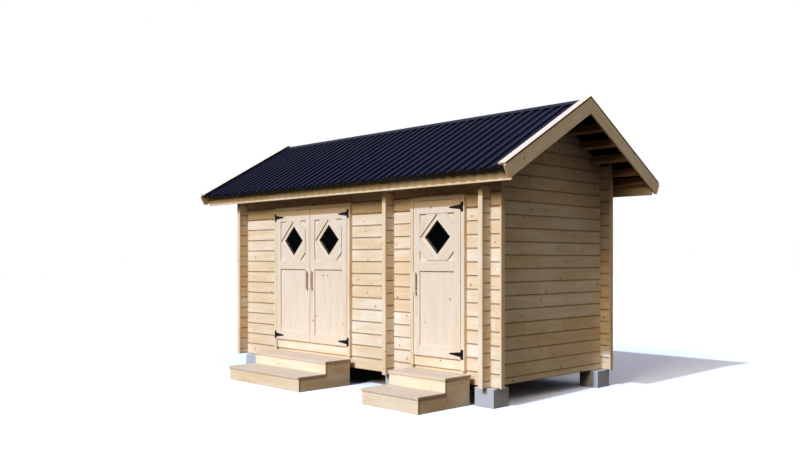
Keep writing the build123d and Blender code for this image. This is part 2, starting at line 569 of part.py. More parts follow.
def build_doors():
    build_frame("single_door_frame", SINGLE_DOOR_X, SINGLE_CLEAR)
    build_frame("double_door_frame", DOUBLE_DOOR_X, DOUBLE_CLEAR)
    right_edge = SINGLE_DOOR_X + SINGLE_CLEAR / 2
    build_leaf("single_leaf", right_edge - DOOR_GAP - SINGLE_LEAF_WIDTH, right_edge - DOOR_GAP, 1, STILE_WIDTH)
    left = DOUBLE_DOOR_X - DOUBLE_CLEAR / 2
    right = DOUBLE_DOOR_X + DOUBLE_CLEAR / 2
    build_leaf("left_leaf", left + DOOR_GAP, left + DOOR_GAP + DOUBLE_LEAF_WIDTH, -1, DOUBLE_STILE_WIDTH)
    build_leaf("right_leaf", right - DOOR_GAP - DOUBLE_LEAF_WIDTH, right - DOOR_GAP, 1, DOUBLE_STILE_WIDTH)
    plates = []
    for hinge_x, away in ((right_edge - DOOR_GAP / 2, 1), (left + DOOR_GAP / 2, -1), (right - DOOR_GAP / 2, 1)):
        plates += [hinge_plate(hinge_x, z, away) for z in HINGE_HEIGHTS]
    save("hinge_plates", plates)


# ---- steps ----
def build_step(side, middle, width):
    """Two treads on risers and side boards, the upper one also on a ledger along the bottom log."""
    x0, x1 = middle - width / 2, middle + width / 2
    side0, side1 = x0 + NOSING, x1 - NOSING
    front = FRONT_Y - STEP_REACH
    second = front + STEP_GOING
    back = FRONT_Y - STEP_STANDOFF
    side_back = back - NOSING
    low_top, high_top = LOWER_RISE, LOWER_RISE + UPPER_RISE
    low_board, high_board = low_top - TREAD_THICKNESS, high_top - TREAD_THICKNESS
    riser0, riser1 = front + NOSING, second + NOSING
    low_side, high_side = riser0 + STEP_BOARD + HAIRLINE, riser1 + STEP_BOARD + HAIRLINE
    # the lower tread runs on under the upper riser, cut back there to the width between the side boards' faces
    lower = box(x0, x1, front, riser1, low_board, low_top) + box(
        side0, side1, riser1, riser1 + STEP_BOARD, low_board, low_top)
    upper = box(x0, x1, second, back, high_board, high_top)
    carcass = [box(side0, side1, riser0, riser0 + STEP_BOARD, 0, low_board),
               box(side0, side1, riser1, riser1 + STEP_BOARD, low_top, high_board)]
    stepped = [(low_side, 0), (side_back, 0), (side_back, low_top), (high_side, low_top),
               (high_side, low_board), (low_side, low_board)]
    for a, b in ((side0, side0 + STEP_BOARD), (side1 - STEP_BOARD, side1)):
        carcass.append(prism_x(stepped, a, b))
        carcass.append(box(a, b, high_side, side_back, low_top + HAIRLINE, high_board))
    ledger_top = high_board - SEAT_GAP
    carcass.append(box(side0 + LEDGER_INSET, side1 - LEDGER_INSET, side_back - LEDGER_LAP, FRONT_Y - SEAT_GAP,
                       ledger_top - LEDGER_HEIGHT, ledger_top))
    save(f"{side}_step_treads", [lower, upper])
    save(f"{side}_step_sides", carcass)


def main():
    os.makedirs("parts", exist_ok=True)
    build_base()
    build_floors()
    build_walls()
    build_end_boards()
    build_purlins()
    build_sheets()
    build_ridge_cap()
    build_verges()
    build_doors()
    build_step("right", SINGLE_DOOR_X + SINGLE_STEP_OFFSET, SINGLE_STEP_WIDTH)
    build_step("left", DOUBLE_DOOR_X + DOUBLE_STEP_OFFSET, DOUBLE_STEP_WIDTH)


main()
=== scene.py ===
"""Log-built outhouse: two rooms under one corrugated steel roof, dressed on its CAD frame."""

import json
import math
import random

import bmesh
import bpy
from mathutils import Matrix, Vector


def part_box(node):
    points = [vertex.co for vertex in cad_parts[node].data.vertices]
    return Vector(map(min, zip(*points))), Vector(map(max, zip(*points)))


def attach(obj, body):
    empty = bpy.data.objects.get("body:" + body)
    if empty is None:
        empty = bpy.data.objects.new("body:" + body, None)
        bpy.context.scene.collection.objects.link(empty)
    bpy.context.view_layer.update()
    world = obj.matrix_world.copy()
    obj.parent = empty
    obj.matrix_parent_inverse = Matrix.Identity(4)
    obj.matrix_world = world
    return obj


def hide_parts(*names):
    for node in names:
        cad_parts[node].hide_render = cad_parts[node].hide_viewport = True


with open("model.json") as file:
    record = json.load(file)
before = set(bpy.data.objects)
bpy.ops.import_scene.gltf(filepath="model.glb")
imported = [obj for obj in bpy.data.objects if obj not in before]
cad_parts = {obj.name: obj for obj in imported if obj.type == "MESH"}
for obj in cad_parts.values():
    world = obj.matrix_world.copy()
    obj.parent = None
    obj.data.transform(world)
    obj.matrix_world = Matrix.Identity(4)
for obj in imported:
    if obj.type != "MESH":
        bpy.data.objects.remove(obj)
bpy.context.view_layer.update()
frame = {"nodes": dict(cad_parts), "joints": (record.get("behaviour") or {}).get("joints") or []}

MM = 0.001

# ---- the hut's sizes, in metres ----
SLOPE = math.radians(29.5)          # both roof slopes, from the level
RIDGE_Y = (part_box("ridge_cap")[0].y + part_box("ridge_cap")[1].y) / 2
APEX_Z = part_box("cap_boards")[1].z
LOG_HEIGHT = 145 * MM               # one course
CAP_WIDTH = 100 * MM
CAP_THICKNESS = 22 * MM
SHEET_PITCH = 137.5 * MM            # crown to crown, with a crown over the roof's middle
SHEET_DEPTH = 18 * MM
SHEET_PAST_EAVE = 18 * MM           # the front sheet's lower end past the cap boards', down the slope
FIRST_PURLIN = 192.5 * MM           # ridge line to the first purlin's middle, down the slope
PURLIN_SPACING = 295 * MM
SCREWED_PURLINS = 5
TREAD_THICKNESS = 30 * MM
FLOOR_BOARD = 95 * MM               # laid width, about
FLOOR_JOINT = 0.6 * MM
LOW_HINGE = 55 * MM                 # leaf's lower edge to the lower strap's middle line
HIGH_HINGE = 84 * MM                # the same from the leaf's upper edge
STRAP_THICKNESS = 3 * MM
SEAL_THICKNESS = 6 * MM             # rubber seal round a pane
SEAL_LAP = 1 * MM                   # its lap over the pane's edge
SEAL_REACH = 20 * MM                # how far it goes past the pane's edge, under the slanting boards

# ---- screws ----
PAN_HEAD_RADIUS = 4.5 * MM
SMALL_HEAD_RADIUS = 4 * MM          # on the corner boards
PAN_HEAD_HEIGHT = 2.4 * MM
PAN_HEAD_EDGE = 0.9 * MM
WASHER_RADIUS = 8 * MM
WASHER_THICKNESS = 2 * MM
HEX_HEAD_RADIUS = 5 * MM
HEX_HEAD_HEIGHT = 5 * MM
TROUGHS_EACH_WAY = 18               # from the roof's middle; every second one has screws
CAP_SCREWS_DOWN = (0.12, 0.5, 0.88, 1.26, 1.6)    # from the ridge line, down the slope
CORNER_SCREWS_FROM = 0.272          # lowest screws, above the ground
CORNER_SCREWS_UP = 7                # one in every second course
TREAD_SCREWS_IN = 26 * MM           # tread's end to its screws
UPPER_TREAD_SCREWS_Y = (-1.24, -1.02)
LOWER_TREAD_SCREWS_Y = (-1.63, -1.41)
STRAP_SCREWS = (34 * MM, 78 * MM, 122 * MM)       # hinge pin to the strap's screws
PLATE_SCREWS_IN = 24 * MM           # hinge pin to the plate's screws
PLATE_SCREWS_UP = 38 * MM           # strap's middle line to the plate's screws

# ---- how wood and stone were worked ----
LOG_EDGE = 1.2 * MM                 # widths of the rounded edges
BOARD_EDGE = 2 * MM
FLOOR_EDGE = 2.5 * MM
TREAD_EDGE = 3 * MM
HANDLE_EDGE = 5 * MM
BLOCK_EDGE = 6 * MM
PITH_DEPTH = (20 * MM, 90 * MM)     # how deep under a board's middle its tree's pith lay
GLUED_LENGTH = 0.7                  # logs and boards are glued up end to end from lengths of several trees
YEAR_RING = 5 * MM                  # the real 2 to 3 mm, drawn coarser so that it shows

# ---- directions ----
ALONG_X = Vector((1, 0, 0))
ALONG_Y = Vector((0, 1, 0))
ALONG_Z = Vector((0, 0, 1))
DOWN_FRONT = Vector((0, -math.cos(SLOPE), -math.sin(SLOPE)))
DOWN_REAR = Vector((0, math.cos(SLOPE), -math.sin(SLOPE)))
SLANT_UP = Vector((1, 0, 1)).normalized()
SLANT_DOWN = Vector((1, 0, -1)).normalized()

# ---- camera and stage ----
CAMERA_PLACE = (7.659, -7.4635, 1.532)            # off the right front corner, at eye height
CAMERA_LOOK = Vector((-0.7148, 0.6993, 0))        # level, so that upright edges stay upright
LENS = 36.846                       # focal length in millimetres
SENSOR_WIDTH = 36.0
SHIFT_UP = 0.03375                  # brings the whole roof in
FLOOR_SIZE = 120
FLOOR_SEEN = (1.18, 1.3, 1.8, 1)    # over 1 and bluish, because warm lamps light it
FLOOR_THROWN = (0.02, 0.018, 0.015, 1)
WORLD_SEEN = (1, 1, 1, 1)
WORLD_THROWN = (0.012, 0.007, 0.004, 1)


# ---- camera, light and floor ----
def place_camera():
    data = bpy.data.cameras.new("camera")
    data.lens = LENS
    data.sensor_width = SENSOR_WIDTH
    data.shift_y = SHIFT_UP
    data.clip_end = 200
    camera = bpy.data.objects.new("camera", data)
    bpy.context.collection.objects.link(camera)
    camera.location = CAMERA_PLACE
    camera.rotation_euler = CAMERA_LOOK.to_track_quat("-Z", "Y").to_euler()
    bpy.context.scene.camera = camera


def place_lamp(name, direction, strength, spread, colour):
    """A far lamp: light runs in one direction, spread over an angle in degrees."""
    data = bpy.data.lights.new(name, "SUN")
    data.energy = strength
    data.angle = math.radians(spread)
    data.color = colour
    lamp = bpy.data.objects.new(name, data)
    bpy.context.collection.objects.link(lamp)
    lamp.rotation_euler = Vector(direction).to_track_quat("-Z", "Y").to_euler()


def place_lamps():
    """A cool key with a crisp shadow and a warm softbox from the front, and weak fills from other sides."""
    place_lamp("key", (-0.045, 0.78, -0.624), 2.92, 1.0, (0.547, 0.72, 1.0))
    place_lamp("low_softbox", (-0.048, 0.878, -0.477), 2.06, 29, (1.0, 0.8, 0.48))
    place_lamp("high_side_fill", (-0.5, 0.05, -0.866), 0.58, 50, (1.0, 0.8, 0.52))
    place_lamp("level_side_fill", (-0.98, 0.1, -0.17), 0.14, 40, (1.0, 0.8, 0.52))
    place_lamp("overhead_softbox", (0, 0, -1), 0.52, 130, (0.86, 0.93, 1.0))
    place_lamp("rear_fill", (0.45, -0.8, -0.4), 0.13, 60, (1.0, 0.95, 0.88))


# ---- materials ----
FACTOR, FIRST, SECOND, MIXED = 0, 6, 7, 2    # sockets of a Mix node that mixes colours


def linear(hex_colour):
    """An sRGB hex colour as linear RGBA."""
    parts = [int(hex_colour[i:i + 2], 16) / 255 for i in (1, 3, 5)]
    return [c / 12.92 if c <= 0.04045 else ((c + 0.055) / 1.055) ** 2.4 for c in parts] + [1]


def add_node(tree, kind, inputs=None, **settings):
    """Adds a node; settings are its properties, inputs are values or the outputs that feed it."""
    node = tree.nodes.new(kind)
    for name, value in settings.items():
        setattr(node, name, value)
    for socket, value in (inputs or {}).items():
        if isinstance(value, bpy.types.NodeSocket):
            tree.links.new(value, node.inputs[socket])
        else:
            node.inputs[socket].default_value = value
    return node


def empty_material(name):
    material = bpy.data.materials.new(name)
    material.use_nodes = True
    material.node_tree.nodes.clear()
    return material


def stage_colour(tree, seen, thrown):
    """One colour for the camera, reflections and glass, and another for the light that is thrown back."""
    path = add_node(tree, "ShaderNodeLightPath").outputs
    sharp = add_node(tree, "ShaderNodeMath", {0: path["Is Glossy Ray"], 1: path["Is Transmission Ray"]},
                     operation="MAXIMUM")
    seen_ray = add_node(tree, "ShaderNodeMath", {0: path["Is Camera Ray"], 1: sharp.outputs[0]},
                        operation="MAXIMUM")
    colour = add_node(tree, "ShaderNodeMix", {FACTOR: seen_ray.outputs[0], FIRST: thrown, SECOND: seen},
                      data_type="RGBA", clamp_result=False)
    return colour.outputs[MIXED]


def white_studio_floor():
    """Matt white studio floor: it keeps the hut's shadow and throws little light back."""
    material = empty_material("matt_white_floor")
    tree = material.node_tree
    colour = stage_colour(tree, FLOOR_SEEN, FLOOR_THROWN)
    diffuse = add_node(tree, "ShaderNodeBsdfDiffuse", {"Color": colour})
    add_node(tree, "ShaderNodeOutputMaterial", {"Surface": diffuse.outputs[0]})
    bpy.ops.mesh.primitive_plane_add(size=FLOOR_SIZE, location=(0, 0, 0))
    floor = bpy.context.object
    floor.name = "studio_floor"
    floor.data.materials.append(material)


def white_surroundings():
    """Plain white all round for the camera, and almost dark as a light."""
    world = bpy.data.worlds.new("white_surroundings")
    bpy.context.scene.world = world
    world.use_nodes = True
    tree = world.node_tree
    tree.nodes.clear()
    colour = stage_colour(tree, WORLD_SEEN, WORLD_THROWN)
    background = add_node(tree, "ShaderNodeBackground", {"Color": colour, "Strength": 1.0})
    add_node(tree, "ShaderNodeOutputWorld", {"Surface": background.outputs[0]})


def knot_pattern(tree, grain, share):
    """Live knots 6 to 18 mm across; this share of the 260 by 75 mm fields of the surface hold one.

    Gives how far a place lies in a knot's core, and how far in the halo of wood that bends round it.
    """
    cells = add_node(tree, "ShaderNodeVectorMath", {0: grain, 1: (260 * MM, 75 * MM, 1)},
                     operation="DIVIDE").outputs[0]
    knot = add_node(tree, "ShaderNodeTexVoronoi", {"Vector": cells, "Scale": 1.0, "Randomness": 0.85},
                    voronoi_dimensions="2D", feature="F1").outputs
    away = add_node(tree, "ShaderNodeVectorMath", {0: cells, 1: knot["Position"]}, operation="SUBTRACT")
    away_mm = add_node(tree, "ShaderNodeVectorMath", {0: away.outputs[0], 1: (260, 75, 0)},
                       operation="MULTIPLY")
    apart = add_node(tree, "ShaderNodeVectorMath", {0: away_mm.outputs[0]}, operation="LENGTH")
    uneven = add_node(tree, "ShaderNodeTexNoise", {"Vector": grain, "Scale": 60.0, "Detail": 2.0})
    uneven_mm = add_node(tree, "ShaderNodeMath", {0: uneven.outputs["Fac"], 1: 3.0, 2: -1.5},
                         operation="MULTIPLY_ADD")
    distance = add_node(tree, "ShaderNodeMath", {0: apart.outputs["Value"], 1: uneven_mm.outputs[0]},
                        operation="ADD")
    chance = add_node(tree, "ShaderNodeSeparateColor", {"Color": knot["Color"]}).outputs["Red"]
    present = add_node(tree, "ShaderNodeMath", {0: chance, 1: 1 - share}, operation="GREATER_THAN")
    larger = add_node(tree, "ShaderNodeMapRange", {"Value": chance, "From Min": 1 - share, "From Max": 1.0,
                                                   "To Min": 0.0, "To Max": 6.0})
    radius = add_node(tree, "ShaderNodeMath", {0: larger.outputs[0], 1: 3.0}, operation="ADD")
    radii_away = add_node(tree, "ShaderNodeMath", {0: distance.outputs[0], 1: radius.outputs[0]},
                          operation="DIVIDE")
    zones = []
    for full, faded in ((0.75, 1.1), (0.7, 3.2)):
        zone = add_node(tree, "ShaderNodeMapRange",
                        {"Value": radii_away.outputs[0], "From Min": full, "From Max": faded,
                         "To Min": 1.0, "To Max": 0.0}, interpolation_type="SMOOTHSTEP")
        here = add_node(tree, "ShaderNodeMath", {0: zone.outputs[0], 1: present.outputs[0]},
                        operation="MULTIPLY")
        zones.append(here.outputs[0])
    return zones


def year_rings(tree, grain, halo):
    """Year rings round the pith, which runs along the board: 0 in early wood, 1 in the line of late wood.
    They drift by up to 60 mm on their way along it, and bend 12 mm round a knot."""
    drift_at = add_node(tree, "ShaderNodeVectorMath", {0: grain, 1: (1.3, 5, 5)}, operation="MULTIPLY")
    drift = add_node(tree, "ShaderNodeTexNoise", {"Vector": drift_at.outputs[0], "Scale": 1.0, "Detail": 2.0})
    drifted = add_node(tree, "ShaderNodeMath", {0: drift.outputs["Fac"], 1: 60 * MM}, operation="MULTIPLY")
    section = add_node(tree, "ShaderNodeVectorMath", {0: grain, 1: (0, 1, 1)}, operation="MULTIPLY")
    from_pith = add_node(tree, "ShaderNodeVectorMath", {0: section.outputs[0]}, operation="LENGTH")
    uneven = add_node(tree, "ShaderNodeMath", {0: from_pith.outputs["Value"], 1: drifted.outputs[0]},
                      operation="ADD")
    around_knots = add_node(tree, "ShaderNodeMath", {0: halo, 1: 12 * MM, 2: uneven.outputs[0]},
                            operation="MULTIPLY_ADD")
    years = add_node(tree, "ShaderNodeMath", {0: around_knots.outputs[0], 1: YEAR_RING}, operation="DIVIDE")
    in_year = add_node(tree, "ShaderNodeMath", {0: years.outputs[0]}, operation="FRACT")
    latewood = add_node(tree, "ShaderNodeValToRGB", {"Fac": in_year.outputs[0]})
    ramp = latewood.color_ramp
    ramp.elements[0].color = (0.35, 0.35, 0.35, 1)
    ramp.elements[1].color = (0.5, 0.5, 0.5, 1)
    early = ramp.elements.new(0.18)
    early.color = (0, 0, 0, 1)
    late = ramp.elements.new(0.86)
    late.color = (1, 1, 1, 1)
    return latewood.outputs["Color"]


def wood_warmth(tree, grain, tone_spread):
    """How warm the wood is: half of its tone is the board's own and half its glued length's, and drifts of
    colour about 450 mm long and 70 mm wide run along it."""
    tone = add_node(tree, "ShaderNodeAttribute", attribute_name="tone").outputs["Fac"]
    along = add_node(tree, "ShaderNodeSeparateXYZ", {"Vector": grain}).outputs["X"]
    lengths = add_node(tree, "ShaderNodeMath", {0: along, 1: GLUED_LENGTH}, operation="DIVIDE")
    length = add_node(tree, "ShaderNodeMath", {0: lengths.outputs[0]}, operation="FLOOR")
    trunk = add_node(tree, "ShaderNodeTexWhiteNoise", {"W": length.outputs[0]}, noise_dimensions="1D")
    own = add_node(tree, "ShaderNodeMath", {0: trunk.outputs["Value"], 1: 0.5}, operation="MULTIPLY")
    mixed = add_node(tree, "ShaderNodeMath", {0: tone, 1: 0.5, 2: own.outputs[0]}, operation="MULTIPLY_ADD")
    spread = add_node(tree, "ShaderNodeMath", {0: mixed.outputs[0], 1: tone_spread}, operation="MULTIPLY")
    patch_at = add_node(tree, "ShaderNodeVectorMath", {0: grain, 1: (2.2, 14, 14)}, operation="MULTIPLY")
    patch = add_node(tree, "ShaderNodeTexNoise", {"Vector": patch_at.outputs[0], "Scale": 1.0, "Detail": 3.0})
    drift = add_node(tree, "ShaderNodeMapRange", {"Value": patch.outputs["Fac"], "From Min": 0.35,
                                                  "From Max": 0.7, "To Min": 0.0, "To Max": 0.6})
    warmth = add_node(tree, "ShaderNodeMath", {0: spread.outputs[0], 1: drift.outputs[0]},
                      operation="ADD", use_clamp=True)
    return warmth.outputs[0]


def painted_joint_shade(tree):
    """Painted shade, with a little dust, on the lip of a log joint: along a log's top and its foot."""
    top = add_node(tree, "ShaderNodeAttribute", attribute_name="below_top")
    foot = add_node(tree, "ShaderNodeAttribute", attribute_name="above_foot")
    at_top = add_node(tree, "ShaderNodeMapRange", {"Value": top.outputs["Fac"], "From Min": 3 * MM,
                                                   "From Max": 13 * MM, "To Min": 0.5, "To Max": 0.0})
    at_foot = add_node(tree, "ShaderNodeMapRange", {"Value": foot.outputs["Fac"], "From Min": 7 * MM,
                                                    "From Max": 9 * MM, "To Min": 0.5, "To Max": 0.0})
    lip_shade = add_node(tree, "ShaderNodeMath", {0: at_top.outputs[0], 1: at_foot.outputs[0]},
                    operation="MAXIMUM")
    return lip_shade.outputs[0]


def spruce(name, pale, warm, dark, knots, tone_spread=0.5, joint_shade=False, cap_edge_shade=False):
    """Planed Nordic spruce, unpainted.

    The saw cut through the year rings gives long pale and warm bands with dark lines, live knots are small
    brown discs that the bands bend round, and sawn ends are darker. knots is the share of the knot fields
    that hold one, and tone_spread is how far the boards differ. joint_shade paints shade, with a little dust,
    on the lips of the log joints.
    cap_edge_shade is for the cap boards: it paints shade on their edges, brown on the outer ones and near
    black on the inner ones along the roof sheet.
    """
    material = empty_material(name)
    tree = material.node_tree
    grain = add_node(tree, "ShaderNodeAttribute", attribute_name="grain").outputs["Vector"]
    end = add_node(tree, "ShaderNodeAttribute", attribute_name="end_grain").outputs["Fac"]
    knot_core, knot_halo = knot_pattern(tree, grain, knots)
    latewood = year_rings(tree, grain, knot_halo)
    # bundles of fibres, really finer than 0.1 mm, drawn 4 mm wide and 170 mm long so that they show
    fibre_at = add_node(tree, "ShaderNodeVectorMath", {0: grain, 1: (6, 260, 260)}, operation="MULTIPLY")
    fibre = add_node(tree, "ShaderNodeTexNoise", {"Vector": fibre_at.outputs[0], "Scale": 1.0, "Detail": 3.0})
    fibrous = add_node(tree, "ShaderNodeMapRange", {"Value": fibre.outputs["Fac"], "From Min": 0.3,
                                                    "From Max": 0.75, "To Min": 0.2, "To Max": 1.0})
    line = add_node(tree, "ShaderNodeMath", {0: latewood, 1: fibrous.outputs[0]}, operation="MULTIPLY")

    warmth = wood_warmth(tree, grain, tone_spread)
    body = add_node(tree, "ShaderNodeMix", {FACTOR: warmth, FIRST: linear(pale), SECOND: linear(warm)},
                    data_type="RGBA")
    colour = body.outputs[MIXED]
    line_part = add_node(tree, "ShaderNodeMath", {0: line.outputs[0], 1: 0.42}, operation="MULTIPLY")
    halo_part = add_node(tree, "ShaderNodeMath", {0: knot_halo, 1: 0.45}, operation="MULTIPLY")
    end_part = add_node(tree, "ShaderNodeMath", {0: end, 1: 0.55}, operation="MULTIPLY")
    layers = [(line_part.outputs[0], dark), (halo_part.outputs[0], "#C08A4E"), (knot_core, "#8A5A32"),
              (end_part.outputs[0], "#A9743F")]
    # painted shade, with a little dust, on the lips of the log joints
    if joint_shade:
        layers.append((painted_joint_shade(tree), "#7A4A1A"))
    # painted shade on the cap boards' edges: brown on the outer ones, near black on the inner ones
    if cap_edge_shade:
        for attribute, edge_shade_colour in (("outer_edge_shade", "#6C5637"), ("inner_edge_shade", "#14110F")):
            edge = add_node(tree, "ShaderNodeAttribute", attribute_name=attribute)
            layers.append((edge.outputs["Fac"], edge_shade_colour))
    for amount, layer_colour in layers:
        layer = add_node(tree, "ShaderNodeMix", {FACTOR: amount, FIRST: colour, SECOND: linear(layer_colour)},
                         data_type="RGBA")
        colour = layer.outputs[MIXED]

    # planed face: latewood stands a little proud and shines a little more
    roughness = add_node(tree, "ShaderNodeMapRange", {"Value": line.outputs[0], "To Min": 0.72,
                                                      "To Max": 0.55})
    relief = add_node(tree, "ShaderNodeMath", {0: line.outputs[0], 1: 0.5, 2: fibre.outputs["Fac"]},
                      operation="MULTIPLY_ADD")
    bump = add_node(tree, "ShaderNodeBump", {"Height": relief.outputs[0], "Strength": 0.35,
                                             "Distance": 0.4 * MM})
    shader = add_node(tree, "ShaderNodeBsdfPrincipled",
                      {"Base Color": colour, "Roughness": roughness.outputs[0], "IOR": 1.5,
                       "Specular IOR Level": 0.03, "Normal": bump.outputs["Normal"]})
    add_node(tree, "ShaderNodeOutputMaterial", {"Surface": shader.outputs[0]})
    return material


def coated_roof_steel():
    """Polyester-coated corrugated steel, roll-formed: slate flats with streaks of dust, and painted shade
    that makes the steep webs near black and the deep troughs partly darker; faces that look down are near
    black."""
    material = empty_material("coated_roof_steel")
    tree = material.node_tree
    place = add_node(tree, "ShaderNodeTexCoord").outputs["Object"]
    web_shade = add_node(tree, "ShaderNodeAttribute", attribute_name="web_shade").outputs["Fac"]
    under = add_node(tree, "ShaderNodeAttribute", attribute_name="under").outputs["Fac"]
    # dust runs down the slope in streaks
    streak_at = add_node(tree, "ShaderNodeVectorMath", {0: place, 1: (9, 1.2, 1.2)}, operation="MULTIPLY")
    dust = add_node(tree, "ShaderNodeTexNoise", {"Vector": streak_at.outputs[0], "Scale": 1.0, "Detail": 4.0})
    # orange peel of the coil coating, real size about 1 mm, drawn at 3 mm
    peel = add_node(tree, "ShaderNodeTexNoise", {"Vector": place, "Scale": 330.0, "Detail": 1.0})
    amount = add_node(tree, "ShaderNodeMapRange", {"Value": dust.outputs["Fac"], "From Min": 0.35,
                                                   "From Max": 0.75})
    dusty = add_node(tree, "ShaderNodeMix", {FACTOR: amount.outputs[0], FIRST: linear("#171A2E"),
                                             SECOND: linear("#1D2033")}, data_type="RGBA")
    # painted shade: the steep webs near black, the deep troughs partly darker
    web_shaded = add_node(tree, "ShaderNodeMix", {FACTOR: web_shade, FIRST: dusty.outputs[MIXED],
                                              SECOND: linear("#04061A")}, data_type="RGBA")
    colour = add_node(tree, "ShaderNodeMix", {FACTOR: under, FIRST: web_shaded.outputs[MIXED],
                                              SECOND: linear("#080605")}, data_type="RGBA")
    roughness = add_node(tree, "ShaderNodeMapRange", {"Value": dust.outputs["Fac"], "To Min": 0.4,
                                                      "To Max": 0.5})
    bump = add_node(tree, "ShaderNodeBump", {"Height": peel.outputs["Fac"], "Strength": 0.1,
                                             "Distance": 0.2 * MM})
    shader = add_node(tree, "ShaderNodeBsdfPrincipled",
                      {"Base Color": colour.outputs[MIXED], "Roughness": roughness.outputs[0], "IOR": 1.5,
                       "Specular IOR Level": 0.01, "Normal": bump.outputs["Normal"]})
    add_node(tree, "ShaderNodeOutputMaterial", {"Surface": shader.outputs[0]})
    return material


def powder_coated_steel():
    """Stamped steel hinge leaf, powder coated black: a fine-grained satin film, browner where worn thin."""
    material = empty_material("powder_coated_steel")
    tree = material.node_tree
    place = add_node(tree, "ShaderNodeTexCoord").outputs["Object"]
    # powder texture, real size about 0.5 mm, drawn at 1 mm
    grit = add_node(tree, "ShaderNodeTexNoise", {"Vector": place, "Scale": 1000.0, "Detail": 2.0})
    wear = add_node(tree, "ShaderNodeTexNoise", {"Vector": place, "Scale": 45.0, "Detail": 3.0})
    colour = add_node(tree, "ShaderNodeMix", {FACTOR: wear.outputs["Fac"], FIRST: linear("#0D0806"),
                                              SECOND: linear("#1E1510")}, data_type="RGBA")
    roughness = add_node(tree, "ShaderNodeMapRange", {"Value": wear.outputs["Fac"], "To Min": 0.45,
                                                      "To Max": 0.65})
    bump = add_node(tree, "ShaderNodeBump", {"Height": grit.outputs["Fac"], "Strength": 0.3,
                                             "Distance": 0.2 * MM})
    shader = add_node(tree, "ShaderNodeBsdfPrincipled",
                      {"Base Color": colour.outputs[MIXED], "Roughness": roughness.outputs[0], "IOR": 1.5,
                       "Specular IOR Level": 0.1, "Normal": bump.outputs["Normal"]})
    add_node(tree, "ShaderNodeOutputMaterial", {"Surface": shader.outputs[0]})
    return material


def cast_concrete():
    """Cast concrete foundation block: pale grey cement skin with faint clouds, and small air holes darkened
    with painted shade.
    """
    material = empty_material("cast_concrete")
    tree = material.node_tree
    place = add_node(tree, "ShaderNodeTexCoord").outputs["Object"]
    cloud = add_node(tree, "ShaderNodeTexNoise", {"Vector": place, "Scale": 9.0, "Detail": 5.0})
    sand = add_node(tree, "ShaderNodeTexNoise", {"Vector": place, "Scale": 420.0, "Detail": 3.0})
    # air holes, 2 to 5 mm wide, about 25 mm apart, darkened with painted shade
    holes = add_node(tree, "ShaderNodeTexVoronoi", {"Vector": place, "Scale": 40.0})
    skin = add_node(tree, "ShaderNodeMapRange", {"Value": holes.outputs["Distance"], "From Min": 0.05,
                                                 "From Max": 0.12, "To Min": 0.0, "To Max": 1.0})
    cement = add_node(tree, "ShaderNodeMix", {FACTOR: cloud.outputs["Fac"], FIRST: linear("#A9ADBB"),
                                              SECOND: linear("#C9CCD8")}, data_type="RGBA")
    speckled = add_node(tree, "ShaderNodeMix", {FACTOR: sand.outputs["Fac"], FIRST: cement.outputs[MIXED],
                                                SECOND: linear("#B7BAC6")}, data_type="RGBA")
    colour = add_node(tree, "ShaderNodeMix", {FACTOR: skin.outputs[0], FIRST: linear("#6E717C"),
                                              SECOND: speckled.outputs[MIXED]}, data_type="RGBA")
    relief = add_node(tree, "ShaderNodeMath", {0: skin.outputs[0], 1: 4.0, 2: sand.outputs["Fac"]},
                      operation="MULTIPLY_ADD")
    bump = add_node(tree, "ShaderNodeBump", {"Height": relief.outputs[0], "Strength": 0.5,
                                             "Distance": 0.6 * MM})
    shader = add_node(tree, "ShaderNodeBsdfPrincipled",
                      {"Base Color": colour.outputs[MIXED], "Roughness": 0.88, "IOR": 1.5,
                       "Specular IOR Level": 0.05, "Normal": bump.outputs["Normal"]})
    add_node(tree, "ShaderNodeOutputMaterial", {"Surface": shader.outputs[0]})
    return material


def window_glass():
    """Float glass before a dark room: almost black, with a faint film of dirt that dulls it in places."""
    material = empty_material("window_glass")
    tree = material.node_tree
    place = add_node(tree, "ShaderNodeTexCoord").outputs["Object"]
    film = add_node(tree, "ShaderNodeTexNoise", {"Vector": place, "Scale": 14.0, "Detail": 3.0})
    roughness = add_node(tree, "ShaderNodeMapRange", {"Value": film.outputs["Fac"], "To Min": 0.03,
                                                      "To Max": 0.12})
    shader = add_node(tree, "ShaderNodeBsdfPrincipled",
                      {"Base Color": linear("#040404"), "Roughness": roughness.outputs[0], "IOR": 1.5,
                       "Specular IOR Level": 0.005})
    add_node(tree, "ShaderNodeOutputMaterial", {"Surface": shader.outputs[0]})
    return material


def zinc_plated_steel():
    """Yellow-passivated zinc on a turned screw head, gone dull outdoors: a soft grey-gold metal glint."""
    material = empty_material("zinc_plated_steel")
    tree = material.node_tree
    place = add_node(tree, "ShaderNodeTexCoord").outputs["Object"]
    bloom = add_node(tree, "ShaderNodeTexNoise", {"Vector": place, "Scale": 90.0, "Detail": 2.0})
    colour = add_node(tree, "ShaderNodeMix", {FACTOR: bloom.outputs["Fac"], FIRST: linear("#8C7B58"),
                                              SECOND: linear("#A7A192")}, data_type="RGBA")
    shader = add_node(tree, "ShaderNodeBsdfPrincipled",
                      {"Base Color": colour.outputs[MIXED], "Metallic": 1.0, "Roughness": 0.5})
    add_node(tree, "ShaderNodeOutputMaterial", {"Surface": shader.outputs[0]})
    return material


